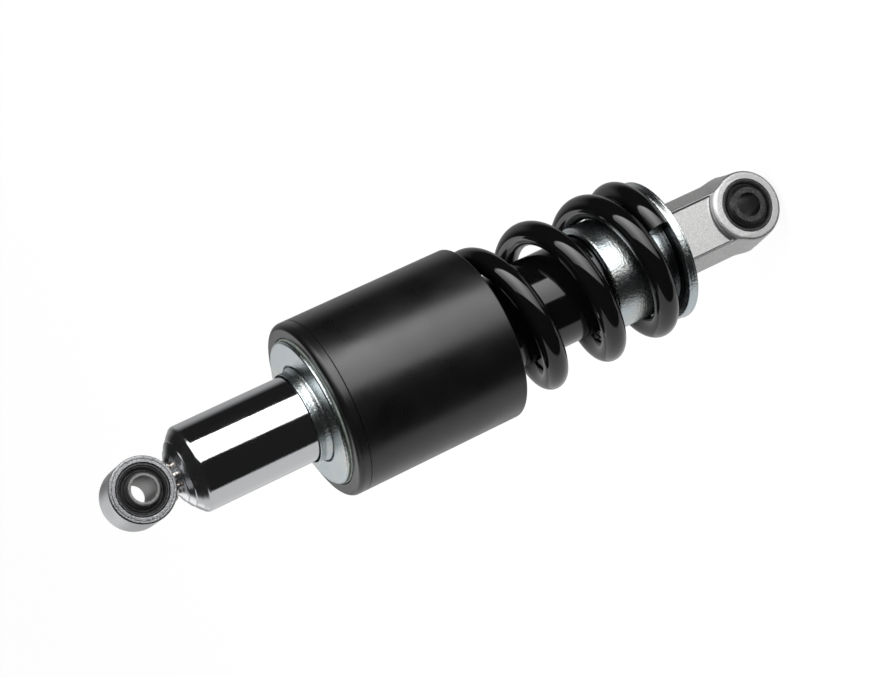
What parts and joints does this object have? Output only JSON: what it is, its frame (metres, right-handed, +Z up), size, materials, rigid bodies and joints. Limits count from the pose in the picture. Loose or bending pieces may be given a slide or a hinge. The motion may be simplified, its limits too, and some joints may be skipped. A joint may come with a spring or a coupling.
{
  "type": "motorcycle monoshock",
  "caption": "Gas-charged rear damper with a coil spring, a black plastic sleeve over the spring's upper half, zinc plated seats, and a bushed eye at each end for a cross bolt.",
  "frame": {"origin": "centre of the bore of the lower eye, the cast one at the rod's end", "axes": "+Z up along the damper's axis to the upper eye; +X along the bores of both eyes; +Y completes a right-handed frame"},
  "size_m": [0.0926, 0.0926, 0.3948],
  "materials": {
    "chrome_plate": "bright chrome plate",
    "zinc_plate": "bluish zinc plate, satin",
    "spring_black": "gloss black powder coat",
    "sleeve_black": "satin black moulded plastic",
    "tube_black": "gloss black moulded plastic",
    "cast_aluminium": "fine blasted casting, silver",
    "bush_rubber": "moulded dark grey rubber",
    "sleeve_steel": "bare grey steel",
    "dark_steel": "dark phosphated steel",
    "machined_steel": "turned steel",
    "machined_aluminium": "turned aluminium",
    "seal_rubber": "nitrile rubber",
    "isolator_rubber": "grey-green hard rubber",
    "bronze": "bronze bush",
    "ring_polymer": "brown filled polymer",
    "bump_foam": "cream bump rubber"
  },
  "bodies": {
    "rod_end": {"rod_end_casting": "cast_aluminium", "lower_bush_shell": "dark_steel", "lower_bush_rubber": "bush_rubber", "piston_rod": "chrome_plate", "lock_nut": "machined_steel", "bump_stop_washer": "machined_steel", "bump_stop": "bump_foam", "lower_spring_seat": "zinc_plate", "seat_collar": "zinc_plate", "dust_tube": "tube_black", "rebound_stop": "ring_polymer", "support_washer": "machined_steel", "compression_shims": "machined_steel", "piston": "machined_aluminium", "piston_ring": "ring_polymer", "rebound_shims": "machined_steel", "piston_nut": "machined_steel", "coil_spring": "spring_black"},
    "damper_body": {"damper_body": "chrome_plate", "seal_head": "machined_aluminium", "head_circlip": "machined_steel", "guide_bush": "bronze", "oil_seal": "seal_rubber", "head_o_ring": "seal_rubber", "seat_wire_ring": "machined_steel", "stop_ring": "zinc_plate", "upper_spring_seat": "zinc_plate", "isolator_ring": "isolator_rubber", "spring_sleeve": "sleeve_black", "upper_eye_ring": "chrome_plate", "eye_weld": "chrome_plate", "upper_bush_shell": "machined_steel", "upper_bush_rubber": "bush_rubber"},
    "gas_piston": {"floating_piston": "machined_aluminium", "floating_piston_o_ring": "seal_rubber"},
    "lower_sleeve": {"lower_inner_sleeve": "dark_steel"},
    "upper_sleeve": {"upper_inner_sleeve": "sleeve_steel"}
  },
  "joints": [
    {"name": "damper_slide", "type": "slide", "parent": "rod_end", "child": "damper_body", "axis": [0, 0, 1], "range_m": [-0.065, 0], "stiffness_N_per_m": 60000, "deforming": ["coil_spring"]},
    {"name": "gas_piston_slide", "type": "slide", "parent": "damper_body", "child": "gas_piston", "axis": [0, 0, 1], "range_m": [0, 0.0078]},
    {"name": "lower_bush_twist", "type": "hinge", "parent": "rod_end", "child": "lower_sleeve", "pos_m": [0, 0, 0], "axis": [1, 0, 0], "range_deg": [-12, 12], "stiffness_Nm_per_rad": 60},
    {"name": "upper_bush_twist", "type": "hinge", "parent": "damper_body", "child": "upper_sleeve", "pos_m": [0, 0, 0.357], "axis": [1, 0, 0], "range_deg": [-12, 12], "stiffness_Nm_per_rad": 60}
  ],
  "couplings": [
    {"joint": "gas_piston_slide", "follows": "damper_slide", "ratio": -0.1195}
  ]
}
